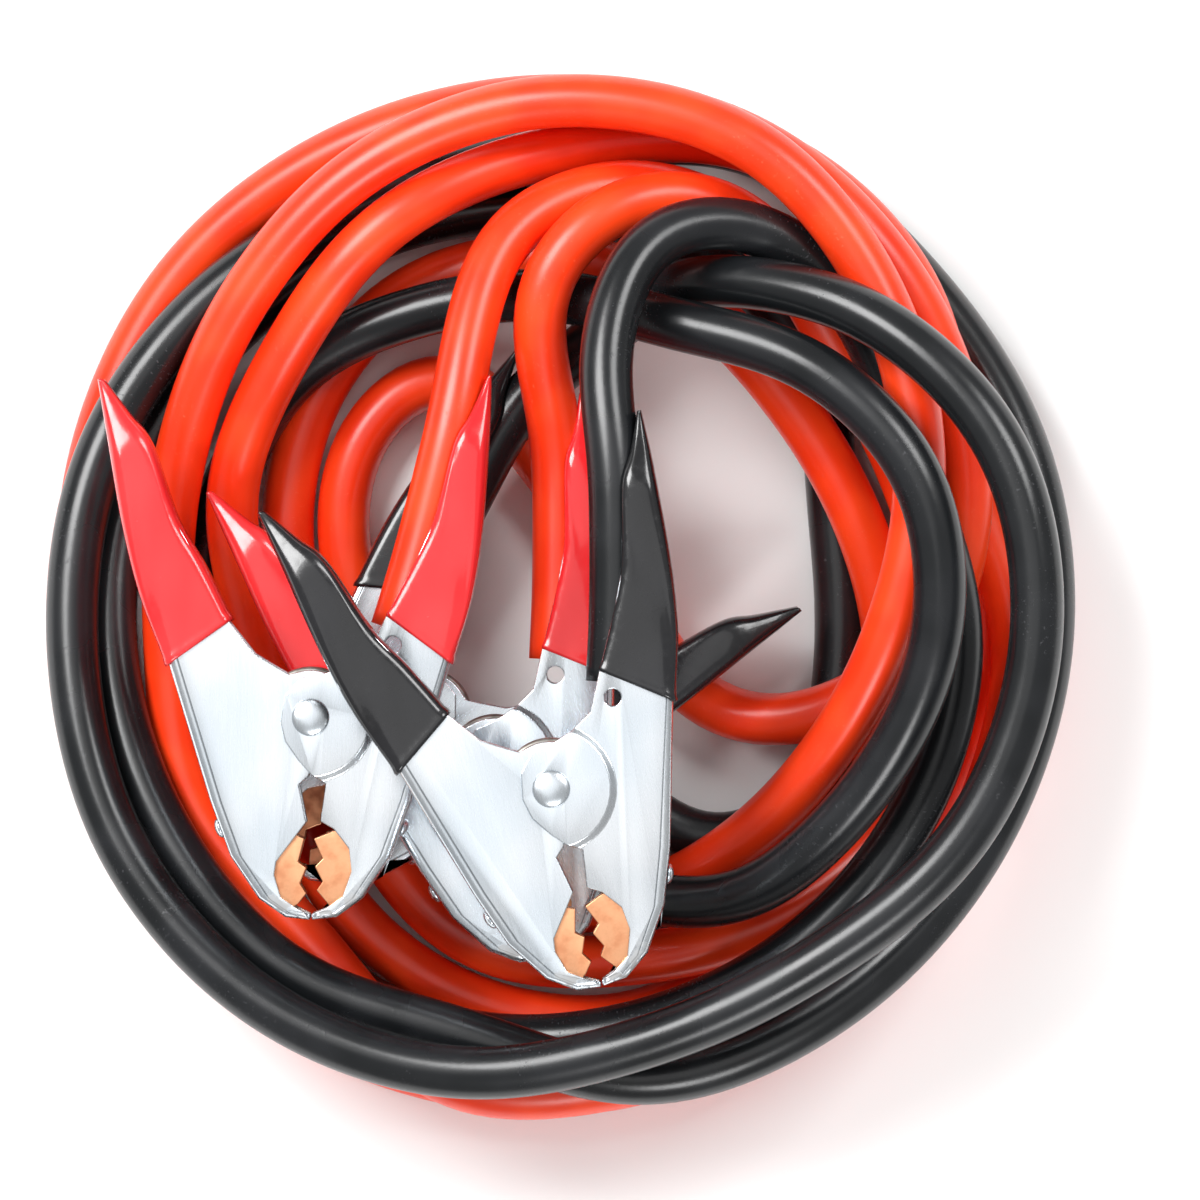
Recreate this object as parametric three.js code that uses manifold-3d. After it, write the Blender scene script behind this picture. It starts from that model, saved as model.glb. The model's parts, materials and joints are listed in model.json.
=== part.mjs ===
// Jumper cable set: a red and a black cable coiled together, with a spring clamp on each of the four ends.
// Millimetres, Z up. The coil lies flat and the four clamps are stacked on its left front.
import * as THREE from "three";
import { mergeVertices } from "three/addons/utils/BufferGeometryUtils.js";
import Module from "manifold-3d";

const wasm = await Module();
wasm.setup();

// Driving dimensions, cable
const CABLE_DIAMETER = 16;
const CABLE_SIDES = 8;
const STEPS_PER_SPAN = 2;
const CLOCK_STEP = 24;

// Driving dimensions, clamp
const SHEET = 1.0;
const SEAT = 0.3;
const SLEEVE_WALL = 1.0;
const CHANNEL = CABLE_DIAMETER + 0.6;
const STEEL_OUT = CHANNEL / 2 + SHEET;
const EAR_IN = STEEL_OUT + SEAT;
const EAR_OUT = EAR_IN + SHEET;
const CLAMP_THICKNESS = 2 * EAR_OUT;
const EAR_RADIUS = 14;
const JOGGLE_INNER = 16.8;
const JOGGLE_TOP = 17.6;
const JOGGLE_FOOT = 19.3;
const RIVET_RADIUS = 3.7;
const RIVET_GAP = 0.3;
const RIVET_HEAD_RADIUS = 5.6;
const RIVET_HEAD_HEIGHT = 1.4;
const RIVET_SEAT = 0.2;
const PLATE_HOLE = { x: 24.4, y: 21.6, radius: 2.6 };
const COIL_RADIUS = 14;
const SPRING_WIRE = 2.2;
const JAW_ROUND_SIDES = 10;

// Where the four clamps lie: pivot, turn to the right as seen from above, and height of the mid-plane
const BASE_LEVEL = 18.8;
const STACK_GAP = 2.0;
const LEVEL_STEP = CLAMP_THICKNESS + STACK_GAP;
const CLAMPS = {
  black_clamp_2: { x: -39.3, y: -36.2, turn: 42, level: 0, flipped: true },
  red_clamp_2: { x: -17.2, y: -50.1, turn: -14.5, level: 1, flipped: false },
  red_clamp_1: { x: -71.9, y: -35.6, turn: 0, level: 2, flipped: false },
  black_clamp_1: { x: 0, y: -56.5, turn: -14.5, level: 3, flipped: false },
};

// Outlines in a clamp's own frame: pivot at the origin, handles towards +Y, lever half on the left
const JAW_SPINE = [[-0.3, -60.5], [-7.6, -59.7], [-15.5, -54.2], [-24, -41.5], [-30, -25]];
const LEVER_GRIP_OUTER = [[-43.5, 15], [-50.8, 34.4], [-56.6, 57.4], [-61.3, 84.4], [-64, 101]];
const LEVER_GRIP_INNER = [[-23.3, 29.3], [-31.5, 45.9], [-39.5, 59.8], [-47.5, 82], [-54, 90.6], [-61.8, 101]];
const CABLE_GRIP_OUTER = [[42.5, 15.5], [48, 34.4], [51.5, 57.4], [53.5, 84.4], [54, 102]];
const CABLE_GRIP_INNER = [[21.5, 31], [29.5, 45.9], [36, 59.8], [42, 82], [47, 90.6], [52.5, 102]];
const LEVER_THROAT = [[-16.8, 19], [-10.3, 15.1], [-6.3, 12.8]];
const LEVER_NECK = [[-0.6, -17.4], [-3.6, -20.2], [-1.4, -31.4], [-10.3, -43.2], [-10.9, -47.1], [-8.9, -53.7],
  [-4.3, -56.9], [-0.3, -58.9]];
const CABLE_THROAT = [[16.8, 19], [10.3, 15.1], [4, 13], [-3, 11.8]];
const CABLE_EAR = [[-7.5, 6.7], [-9, -1], [-7.6, -7.2], [-3.6, -13], [0.3, -17.3]];
const CABLE_NECK = [[4.5, -19.9], [2.9, -31.1], [6.8, -33.3], [11.4, -39.3], [12.1, -45.8], [9.4, -53.7],
  [4.5, -57], [0.3, -58.7]];
const LEVER_TEETH = [[-5.2, -34.7], [-2, -36.3], [-3.8, -43.2], [-1.4, -45.1], [-3.3, -49.7], [-1.4, -52.7],
  [-3.7, -55.6]];
const CABLE_TEETH = [[6.8, -33.9], [0.9, -36.3], [3.5, -42.2], [1.2, -44.6], [3.5, -49.1], [1.7, -51.7], [4.5, -55]];
const JAW_RIVET = { x: -27.1, y: -33.2, lean: 20 };

// The cable's last stretch, inside its grip, in the clamp's own frame
const CABLE_IN_GRIP = [[25.5, 26], [30, 40], [34.5, 56], [38.5, 73], [43, 90]];

// Routes, from above: a turn's stations are [radius, height] at even clock angles, the others are [x, y, height]
const BLACK_ROUTE = {
  from: "black_clamp_1",
  leadIn: [[15.5, 73.5, 91.5], [29, 108, 79], [63.5, 111.5, 64]],
  firstTurns: {
    start: 48,
    sense: 1,
    stations: [
      [126, 54.5], [116, 55.5], [123.5, 57.5], [127.5, 50.5], [130, 41.5], [133, 32], [136.5, 22],
      [133.5, 11], [112.5, 8.5], [111.5, 8.5], [105.5, 12.5], [105, 23.5], [96, 33.5], [92, 47],
      [90, 68], [104.5, 83], [116, 89.5], [116, 84.5], [111, 71.5], [108.5, 55],
    ],
  },
  turnBack: [
    [37, -92.5, 39.5], [9.5, -86.5, 27], [-7.5, -74.5, 11], [-14.5, -63, 8.5], [-7, -45.5, 8.5],
    [18, -56, 9.5], [40, -74, 11], [65.5, -72, 12],
  ],
  secondTurns: {
    start: 120,
    sense: -1,
    stations: [
      [96.5, 8.5], [89, 8.5], [90, 8.5], [107.5, 9.5], [116.5, 9.5], [120, 8.5], [124, 8.5],
      [128, 11.5], [133, 17.5], [135.5, 27], [137, 37.5], [139, 46.5], [134, 53.5], [149, 57.5],
      [150, 57], [150, 52.5], [151, 42], [151, 24.5], [148.5, 10], [151, 10], [137, 16.5],
      [133, 23], [138.5, 27.5], [144.5, 32.5], [146.5, 40], [150.5, 49], [150.5, 59], [146, 69],
      [136, 79.5], [134.5, 89], [142.5, 97], [145, 101], [142, 99], [127, 86], [105, 57.5],
    ],
  },
  leadOut: [[18.5, 82, 35]],
  to: "black_clamp_2",
};
const RED_ROUTE = {
  from: "red_clamp_2",
  leadIn: [[-4.5, 91.5, 64], [22, 120, 62], [59.5, 115.5, 48]],
  firstTurns: {
    start: 48,
    sense: 1,
    stations: [
      [115.5, 35], [114, 25], [120, 21], [126, 24], [120.5, 25.5], [113, 20.5], [109.5, 11.5],
      [92.5, 8.5], [71.5, 8.5], [77.5, 8.5], [86, 8.5], [96.5, 8.5], [104.5, 14], [104, 22.5],
      [100.5, 27], [94, 28], [95.5, 25.5], [103.5, 17.5], [114, 10], [121.5, 8.5], [131.5, 8.5],
      [126, 8.5], [113.5, 9], [94.5, 8.5], [92, 17.5], [103.5, 29.5], [109.5, 40], [124, 50.5],
      [135.5, 38], [151, 29], [146.5, 29.5], [131, 27], [143, 25], [146.5, 30.5], [150, 36.5],
      [148, 40], [151, 38], [127, 28.5], [126.5, 23.5], [117.5, 24.5], [120.5, 32], [129.5, 42.5],
      [142, 53], [150, 63], [149.5, 69.5], [134, 70.5], [116.5, 72.5], [102, 68.5], [95, 53],
      [94, 32.5], [96, 13.5], [92, 8.5], [64, 8.5], [54.5, 8.5], [59, 8.5], [68.5, 9],
      [78, 11.5],
    ],
  },
  turnBack: [[-31, 70, 10.5], [-3.5, 42, 10], [20, 7, 10.5], [41.5, -29.5, 8.5], [75.5, -37.5, 22]],
  secondTurns: {
    start: 96,
    sense: -1,
    stations: [
      [115.5, 37.5], [132.5, 44], [143, 51.5], [151, 53], [151, 44.5], [151, 27], [151, 13],
      [147.5, 8.5], [144, 8.5], [144.5, 8.5], [151, 8.5], [151, 8.5], [150, 9], [138.5, 9],
      [133, 8.5], [133.5, 8.5], [127.5, 10.5], [127, 18.5], [129, 32],
    ],
  },
  leadOut: [[20, 125.5, 45.5], [-13, 111.5, 57], [-24.5, 81.5, 68.5]],
  to: "red_clamp_1",
};

// Finishes
const FINISHES = {
  redCable: { color: 0xf24a26, roughness: 0.35, metalness: 0 },
  blackCable: { color: 0x2b2c30, roughness: 0.4, metalness: 0 },
  redSleeve: { color: 0xd82f35, roughness: 0.25, metalness: 0 },
  blackSleeve: { color: 0x25262a, roughness: 0.3, metalness: 0 },
  zincSteel: { color: 0xdfe7ec, roughness: 0.3, metalness: 1 },
  springSteel: { color: 0x8f8a84, roughness: 0.35, metalness: 1 },
  copper: { color: 0xf0a56c, roughness: 0.4, metalness: 1 },
};

// Curves and solids
const radians = THREE.MathUtils.degToRad;

class Route extends THREE.CatmullRomCurve3 {
  constructor(points) {
    super(points, false, "catmullrom", 0.5);
  }

  getPointAt(u, target) {
    return this.getPoint(u, target);
  }

  getTangentAt(u, target) {
    return this.getTangent(u, target);
  }
}

function ring(radius, sides) {
  const shape = new THREE.Shape();
  for (let k = 0; k < sides; k += 1) {
    const angle = (2 * Math.PI * (k + 0.5)) / sides;
    const corner = [radius * Math.cos(angle), radius * Math.sin(angle)];
    if (k === 0) shape.moveTo(...corner);
    else shape.lineTo(...corner);
  }
  shape.closePath();
  return shape;
}

function tube(points, radius, sides, stepsPerSpan) {
  const path = new Route(points);
  const steps = (points.length - 1) * stepsPerSpan;
  return new THREE.ExtrudeGeometry(ring(radius, sides), { steps, bevelEnabled: false, extrudePath: path });
}

function solidOf(geometry) {
  const bare = geometry.clone();
  bare.deleteAttribute("normal");
  bare.deleteAttribute("uv");
  const merged = mergeVertices(bare, 1e-4);
  const mesh = new wasm.Mesh({
    numProp: 3,
    vertProperties: Float32Array.from(merged.attributes.position.array),
    triVerts: Uint32Array.from(merged.index.array),
  });
  return new wasm.Manifold(mesh);
}

function geometryOf(solid) {
  const mesh = solid.getMesh();
  const geometry = new THREE.BufferGeometry();
  geometry.setAttribute("position", new THREE.BufferAttribute(Float32Array.from(mesh.vertProperties), 3));
  geometry.setIndex(new THREE.BufferAttribute(Uint32Array.from(mesh.triVerts), 1));
  geometry.computeVertexNormals();
  return geometry;
}

function slab(points, low, high) {
  const shape = new THREE.Shape(points.map(([x, y]) => new THREE.Vector2(x, y)));
  const geometry = new THREE.ExtrudeGeometry(shape, { depth: high - low, bevelEnabled: false });
  geometry.translate(0, 0, low);
  return solidOf(geometry);
}

function turned(profile, sides) {
  const points = profile.map(([radius, height]) => new THREE.Vector2(radius, height));
  const geometry = new THREE.LatheGeometry(points, sides);
  geometry.rotateX(Math.PI / 2);
  return geometry;
}

function disc(radius, low, high, sides = 32) {
  return solidOf(turned([[0, low], [radius, low], [radius, high], [0, high]], sides));
}

// Lines in a clamp's plane
function mirrored(points) {
  return points.map(([x, y]) => [-x, y]);
}

function arc(radius, from, to, steps) {
  const points = [];
  for (let k = 0; k <= steps; k += 1) {
    const angle = radians(from + ((to - from) * k) / steps);
    points.push([radius * Math.cos(angle), radius * Math.sin(angle)]);
  }
  return points;
}

function rightNormal([x0, y0], [x1, y1]) {
  const length = Math.hypot(x1 - x0, y1 - y0);
  return [(y1 - y0) / length, -(x1 - x0) / length];
}

// The line moved to its right by a distance, corners mitred
function offsetRight(points, distance) {
  const last = points.length - 1;
  return points.map(([x, y], k) => {
    const before = rightNormal(points[Math.max(k - 1, 0)], points[Math.max(k, 1)]);
    const after = rightNormal(points[Math.min(k, last - 1)], points[Math.min(k + 1, last)]);
    const sum = [before[0] + after[0], before[1] + after[1]];
    const scale = (2 * distance) / (sum[0] ** 2 + sum[1] ** 2);
    return [x + sum[0] * scale, y + sum[1] * scale];
  });
}

// The line with both ends drawn out straight
function drawnOut(points, atStart, atEnd) {
  const last = points.length - 1;
  const stretch = ([x0, y0], [x1, y1], distance) => {
    const length = Math.hypot(x1 - x0, y1 - y0);
    return [x0 + ((x0 - x1) / length) * distance, y0 + ((y0 - y1) / length) * distance];
  };
  const start = stretch(points[0], points[1], atStart);
  const end = stretch(points[last], points[last - 1], atEnd);
  return [start, ...points.slice(1, last), end];
}

// Steel halves
const STEEL_INSET = SLEEVE_WALL + SEAT;
const GRIP_STEEL_POINTS = 4;
const leverSpine = [...JAW_SPINE, ...offsetRight(LEVER_GRIP_OUTER.slice(0, GRIP_STEEL_POINTS), STEEL_INSET)];
const leverInner = offsetRight(LEVER_GRIP_INNER.slice(0, GRIP_STEEL_POINTS), -STEEL_INSET);
const cableSpine = [...mirrored(JAW_SPINE), ...offsetRight(CABLE_GRIP_OUTER.slice(0, GRIP_STEEL_POINTS), -STEEL_INSET)];
const cableInner = offsetRight(CABLE_GRIP_INNER.slice(0, GRIP_STEEL_POINTS), STEEL_INSET);
const FAR = 90;

function channel(outline, spine, side) {
  const wall = offsetRight(spine, side * SHEET);
  const open = [...drawnOut(wall, 0, 10), [side * FAR, FAR], [side * FAR, -FAR], [wall[0][0], -FAR]];
  return slab(outline, -STEEL_OUT, STEEL_OUT).subtract(slab(open, -CHANNEL / 2, CHANNEL / 2));
}

function jawRivetHole(side) {
  const hole = new THREE.CylinderGeometry(1.8, 1.8, 8, JAW_ROUND_SIDES);
  return solidOf(placedJawRivet(hole, side));
}

function placedJawRivet(geometry, side) {
  geometry.rotateZ(radians(side * (90 + JAW_RIVET.lean)));
  geometry.translate(side * JAW_RIVET.x, JAW_RIVET.y, 0);
  return geometry;
}

function leverHalf() {
  const ear = arc(EAR_RADIUS, 96, -88, 20);
  const outline = [...leverSpine, ...[...leverInner].reverse(), ...LEVER_THROAT, ...ear, ...LEVER_NECK];
  const pivotHole = disc(RIVET_RADIUS + RIVET_GAP, -CLAMP_THICKNESS, CLAMP_THICKNESS, 16);
  return channel(outline, leverSpine, 1).subtract(pivotHole).subtract(jawRivetHole(1));
}

// One stepped-out ear of the cable half, on its upper side
function steppedEar(outline) {
  const foot = CHANNEL / 2;
  const cone = [[0, foot], [JOGGLE_FOOT, foot], [JOGGLE_FOOT, STEEL_OUT], [JOGGLE_TOP, EAR_OUT], [0, EAR_OUT]];
  const raised = slab(outline, foot, EAR_OUT).intersect(solidOf(turned(cone, 36)));
  return raised.subtract(disc(JOGGLE_INNER, 0, EAR_IN, 36));
}

function cableHalf() {
  const outline = [...cableSpine, ...[...cableInner].reverse(), ...CABLE_THROAT, ...CABLE_EAR, ...CABLE_NECK];
  const upper = steppedEar(outline);
  const lower = upper.mirror([0, 0, 1]);
  const pivotHole = disc(RIVET_RADIUS + RIVET_GAP, -CLAMP_THICKNESS, CLAMP_THICKNESS, 16);
  const plateHole = disc(PLATE_HOLE.radius, -CLAMP_THICKNESS, CLAMP_THICKNESS, 16)
    .translate([PLATE_HOLE.x, PLATE_HOLE.y, 0]);
  return channel(outline, cableSpine, -1)
    .subtract(disc(JOGGLE_INNER, -CLAMP_THICKNESS, CLAMP_THICKNESS, 36))
    .add(upper)
    .add(lower)
    .subtract(pivotHole)
    .subtract(plateHole)
    .subtract(jawRivetHole(-1));
}

// Grip sleeves
function leverSleeve() {
  const outline = [...LEVER_GRIP_OUTER, ...[...LEVER_GRIP_INNER].reverse()];
  const outer = drawnOut(offsetRight(LEVER_GRIP_OUTER.slice(0, GRIP_STEEL_POINTS), SLEEVE_WALL), 8, 2);
  const inner = drawnOut(offsetRight(LEVER_GRIP_INNER.slice(0, GRIP_STEEL_POINTS), -SLEEVE_WALL), 8, 2);
  const room = slab([...outer, ...inner.reverse()], -EAR_IN, EAR_IN);
  return slab(outline, -EAR_OUT, EAR_OUT).subtract(room);
}

function cableSleeve() {
  const outline = [...CABLE_GRIP_OUTER, ...[...CABLE_GRIP_INNER].reverse()];
  const outer = drawnOut(offsetRight(CABLE_GRIP_OUTER.slice(0, GRIP_STEEL_POINTS), -SLEEVE_WALL), 8, 2);
  const room = slab([...outer, [FAR, FAR], [FAR, 2 * FAR], [-FAR, 2 * FAR], [-FAR, -FAR / 9]], -EAR_IN, EAR_IN);
  return slab(outline, -EAR_OUT, EAR_OUT).subtract(room);
}

// Jaw inserts: a toothed strip with a side plate above and below, open towards the spine
function jawInsert(teeth, side) {
  const back = offsetRight(side > 0 ? JAW_SPINE : mirrored(JAW_SPINE), side * STEEL_INSET);
  const outline = [...teeth, back[1], back[2], back[3], [side * -25, -35.5]];
  const room = [[side * -7, -25], [side * -7, -70], [side * -50, -70], [side * -50, -25]];
  const high = CHANNEL / 2 - SEAT;
  return slab(outline, -high, high).subtract(slab(room, -high + SHEET, high - SHEET));
}

function dome(radius, height, low, steps) {
  const points = [];
  for (let k = 0; k <= steps; k += 1) {
    const angle = (Math.PI / 2) * (k / steps);
    points.push([radius * Math.cos(angle), low + height * Math.sin(angle)]);
  }
  points[steps][0] = 0;
  return points;
}

function pivotRivet() {
  const seat = EAR_OUT + RIVET_SEAT;
  const top = dome(RIVET_HEAD_RADIUS, RIVET_HEAD_HEIGHT, seat, 3);
  const bottom = top.map(([radius, height]) => [radius, -height]).reverse();
  return turned([...bottom, [RIVET_RADIUS, -seat], [RIVET_RADIUS, seat], ...top], 16);
}

function jawRivet(side) {
  const outside = dome(3, 1.6, 0.2, 2);
  const profile = [[0, -2.4], [2.6, -2.4], [2.6, -SHEET - 0.2], [1.5, -SHEET - 0.2], [1.5, 0.2], ...outside];
  const points = profile.map(([radius, height]) => new THREE.Vector2(radius, height));
  return placedJawRivet(new THREE.LatheGeometry(points, JAW_ROUND_SIDES), side);
}

// Torsion spring: a leg along the lever half, the coil, a leg along the cable half
function torsionSpring() {
  const first = 210;
  const last = 315 + 3 * 360;
  const steps = 48;
  const height = CHANNEL - SPRING_WIRE - 2 * SEAT;
  const at = (angle, rise) => new THREE.Vector3(
    COIL_RADIUS * Math.cos(radians(angle)),
    COIL_RADIUS * Math.sin(radians(angle)),
    rise - height / 2,
  );
  const along = (angle, distance) => new THREE.Vector3(
    distance * Math.cos(radians(angle)),
    distance * Math.sin(radians(angle)),
    0,
  );
  const points = [at(first, 0).add(along(first - 90, 28)), at(first, 0).add(along(first - 90, 14))];
  for (let k = 0; k <= steps; k += 1) {
    points.push(at(first + ((last - first) * k) / steps, (height * k) / steps));
  }
  points.push(at(last, height).add(along(last + 90, 12)), at(last, height).add(along(last + 90, 24)));
  return tube(points, SPRING_WIRE / 2, 6, 1);
}

// Placing the clamps and routing the cables
function clampMatrix({ x, y, turn, level, flipped }) {
  const height = BASE_LEVEL + EAR_OUT + level * LEVEL_STEP;
  const turning = new THREE.Euler(0, flipped ? Math.PI : 0, -radians(turn), "ZYX");
  return new THREE.Matrix4().makeRotationFromEuler(turning).setPosition(x, y, height);
}

function inGrip(name) {
  const matrix = clampMatrix(CLAMPS[name]);
  return CABLE_IN_GRIP.map(([x, y]) => new THREE.Vector3(x, y, 0).applyMatrix4(matrix));
}

function turns({ start, sense, stations }) {
  return stations.map(([radius, height], k) => {
    const clock = radians(start + sense * CLOCK_STEP * k);
    return new THREE.Vector3(radius * Math.sin(clock), radius * Math.cos(clock), height);
  });
}

function routePoints(route) {
  const free = (points) => points.map(([x, y, z]) => new THREE.Vector3(x, y, z));
  return [
    ...inGrip(route.from),
    ...free(route.leadIn),
    ...turns(route.firstTurns),
    ...free(route.turnBack),
    ...turns(route.secondTurns),
    ...free(route.leadOut),
    ...inGrip(route.to).reverse(),
  ];
}

function piece(name, geometry, finish) {
  const mesh = new THREE.Mesh(geometry, new THREE.MeshStandardMaterial(finish));
  mesh.name = name;
  return mesh;
}

function clamp(name, place) {
  const sleeve = name.startsWith("red") ? FINISHES.redSleeve : FINISHES.blackSleeve;
  const group = new THREE.Group();
  group.name = name;
  group.add(
    piece(`${name}_cable_half`, geometryOf(cableHalf()), FINISHES.zincSteel),
    piece(`${name}_lever_half`, geometryOf(leverHalf()), FINISHES.zincSteel),
    piece(`${name}_pivot_rivet`, pivotRivet(), FINISHES.zincSteel),
    piece(`${name}_torsion_spring`, torsionSpring(), FINISHES.springSteel),
    piece(`${name}_cable_sleeve`, geometryOf(cableSleeve()), sleeve),
    piece(`${name}_lever_sleeve`, geometryOf(leverSleeve()), sleeve),
    piece(`${name}_cable_jaw`, geometryOf(jawInsert(CABLE_TEETH, -1)), FINISHES.copper),
    piece(`${name}_lever_jaw`, geometryOf(jawInsert(LEVER_TEETH, 1)), FINISHES.copper),
    piece(`${name}_cable_jaw_rivet`, jawRivet(-1), FINISHES.zincSteel),
    piece(`${name}_lever_jaw_rivet`, jawRivet(1), FINISHES.zincSteel),
  );
  group.applyMatrix4(clampMatrix(place));
  return group;
}

function cable(route) {
  return tube(routePoints(route), CABLE_DIAMETER / 2, CABLE_SIDES, STEPS_PER_SPAN);
}

const jumperCable = new THREE.Group();
jumperCable.name = "jumper_cable";
jumperCable.add(piece("red_cable", cable(RED_ROUTE), FINISHES.redCable));
jumperCable.add(piece("black_cable", cable(BLACK_ROUTE), FINISHES.blackCable));
for (const [name, place] of Object.entries(CLAMPS)) {
  jumperCable.add(clamp(name, place));
}

// Stand the set on the ground with the middle of its box at X = Y = 0
jumperCable.updateMatrixWorld(true);
const box = new THREE.Box3().setFromObject(jumperCable, true);
const middle = box.getCenter(new THREE.Vector3());
jumperCable.position.set(-middle.x, -middle.y, -box.min.z);
jumperCable.updateMatrixWorld(true);

export default jumperCable;
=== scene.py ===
"""The looks of a coiled jumper cable set: two cables and four sprung clamps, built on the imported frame."""

from __future__ import annotations

import json
import logging
import math
from dataclasses import dataclass, field
from enum import Enum
from typing import Any, Sequence

import bmesh
import bpy
import numpy as np
from mathutils import Matrix, Vector

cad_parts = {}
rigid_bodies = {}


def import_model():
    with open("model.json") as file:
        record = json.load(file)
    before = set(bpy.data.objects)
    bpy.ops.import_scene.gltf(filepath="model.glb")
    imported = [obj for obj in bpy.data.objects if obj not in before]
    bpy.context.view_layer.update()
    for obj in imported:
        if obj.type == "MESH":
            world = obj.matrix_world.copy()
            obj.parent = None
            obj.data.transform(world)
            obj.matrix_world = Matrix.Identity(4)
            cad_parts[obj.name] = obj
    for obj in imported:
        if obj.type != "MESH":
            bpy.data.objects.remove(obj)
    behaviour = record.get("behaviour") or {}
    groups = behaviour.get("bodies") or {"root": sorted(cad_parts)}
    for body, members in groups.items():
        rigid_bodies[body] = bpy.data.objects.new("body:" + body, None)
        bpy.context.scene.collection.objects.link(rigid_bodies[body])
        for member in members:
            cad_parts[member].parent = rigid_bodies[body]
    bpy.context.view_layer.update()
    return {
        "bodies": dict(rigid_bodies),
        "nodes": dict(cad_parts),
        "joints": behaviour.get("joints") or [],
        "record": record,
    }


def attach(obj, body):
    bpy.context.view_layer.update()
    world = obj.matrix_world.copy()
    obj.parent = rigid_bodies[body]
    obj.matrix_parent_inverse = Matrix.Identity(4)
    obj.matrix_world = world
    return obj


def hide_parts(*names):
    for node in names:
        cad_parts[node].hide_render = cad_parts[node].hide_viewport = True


log = logging.getLogger("jumper_cable")

Point = tuple[float, ...]
Frame = dict[str, Any]
Tree = bpy.types.NodeTree
Piece = bpy.types.Object

# The frame, and how the photograph maps to it, in metres
PHOTO_METRES_PER_PIXEL = 0.000302
PHOTO_SIDE_PIXELS = 1200
COIL_MIDDLE_PIXEL = (552.0, 598.0)
CAMERA_HEIGHT = 3.0
REFERENCE_HEIGHT = 0.05
SENSOR_WIDTH = 0.036
FRAME_SHIFT_X = -0.0023
BLACK_CLAMP_1_PIVOT = (0.0, -0.0565, 0.099)

# Cable sizes, with the clock step in degrees
CABLE_DIAMETER = 0.016
CLOCK_STEP = 24
BLACK_CABLE_LENGTH = 3.50
RED_CABLE_LENGTH = 4.50
SPAN_POINTS = 24
CABLE_IN_GRIP = ((0.0255, 0.026), (0.03, 0.04), (0.0345, 0.056), (0.0385, 0.073), (0.043, 0.09))


# Mesh mending, in metres and degrees
SAME_PLACE = 1e-6
SAME_CORNER = 2e-5
FLAT_ANGLE = 1.0
EDGE_ANGLE = 30.0


@dataclass(frozen=True)
class Turns:
    """Stations of a coil at even clock angles, as (radius, height) from the coil's middle."""

    start: int
    sense: int
    stations: tuple[Point, ...]

    def points(self) -> np.ndarray:
        """The stations as points: x = r sin(clock), y = r cos(clock)."""
        table = np.array(self.stations)
        clock = np.radians(self.start + self.sense * CLOCK_STEP * np.arange(len(table)))
        return np.column_stack([table[:, 0] * np.sin(clock), table[:, 0] * np.cos(clock), table[:, 1]])


@dataclass(frozen=True)
class Route:
    """A cable's way from one clamp to another: free points and turns, as seen from above."""

    start: str
    end: str
    lead_in: tuple[Point, ...]
    first_turns: Turns
    turn_back: tuple[Point, ...]
    second_turns: Turns
    lead_out: tuple[Point, ...]

    def free_points(self) -> np.ndarray:
        """All stations between the two grips, in order.

        Returns:
            One row for each station.
        """
        return np.vstack([
            np.array(self.lead_in),
            self.first_turns.points(),
            np.array(self.turn_back),
            self.second_turns.points(),
            np.array(self.lead_out),
        ])


BLACK_ROUTE = Route(
    start="black_clamp_1",
    end="black_clamp_2",
    lead_in=((0.0155, 0.0735, 0.0915), (0.029, 0.108, 0.079), (0.0635, 0.1115, 0.064)),
    first_turns=Turns(
        start=48,
        sense=1,
        stations=(
            (0.126, 0.0545), (0.116, 0.0555), (0.1235, 0.0575), (0.1275, 0.0505), (0.13, 0.0415),
            (0.133, 0.032), (0.1365, 0.022), (0.1335, 0.011), (0.1125, 0.0085), (0.1115, 0.0085),
            (0.1055, 0.0125), (0.105, 0.0235), (0.096, 0.0335), (0.092, 0.047), (0.09, 0.068),
            (0.1045, 0.083), (0.116, 0.0895), (0.116, 0.0845), (0.111, 0.0715), (0.1085, 0.055),
        ),
    ),
    turn_back=(
        (0.037, -0.0925, 0.0395), (0.0095, -0.0865, 0.027), (-0.0075, -0.0745, 0.011),
        (-0.0145, -0.063, 0.0085),
        (-0.007, -0.0455, 0.0085), (0.018, -0.056, 0.0095), (0.04, -0.074, 0.011), (0.0655, -0.072, 0.012),
    ),
    second_turns=Turns(
        start=120,
        sense=-1,
        stations=(
            (0.0965, 0.0085), (0.089, 0.0085), (0.09, 0.0085), (0.1075, 0.0095), (0.1165, 0.0095),
            (0.12, 0.0085), (0.124, 0.0085), (0.128, 0.0115), (0.133, 0.0175), (0.1355, 0.027),
            (0.137, 0.0375), (0.139, 0.0465), (0.134, 0.0535), (0.149, 0.0575), (0.15, 0.057),
            (0.15, 0.0525), (0.151, 0.042), (0.151, 0.0245), (0.1485, 0.01), (0.151, 0.01),
            (0.137, 0.0165), (0.133, 0.023), (0.1385, 0.0275), (0.1445, 0.0325), (0.1465, 0.04),
            (0.1505, 0.049), (0.1505, 0.059), (0.146, 0.069), (0.136, 0.0795), (0.1345, 0.089),
            (0.1425, 0.097), (0.145, 0.101), (0.142, 0.099), (0.127, 0.086), (0.105, 0.0575),
        ),
    ),
    lead_out=(
        (0.0185, 0.082, 0.035),
    ),
)
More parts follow.
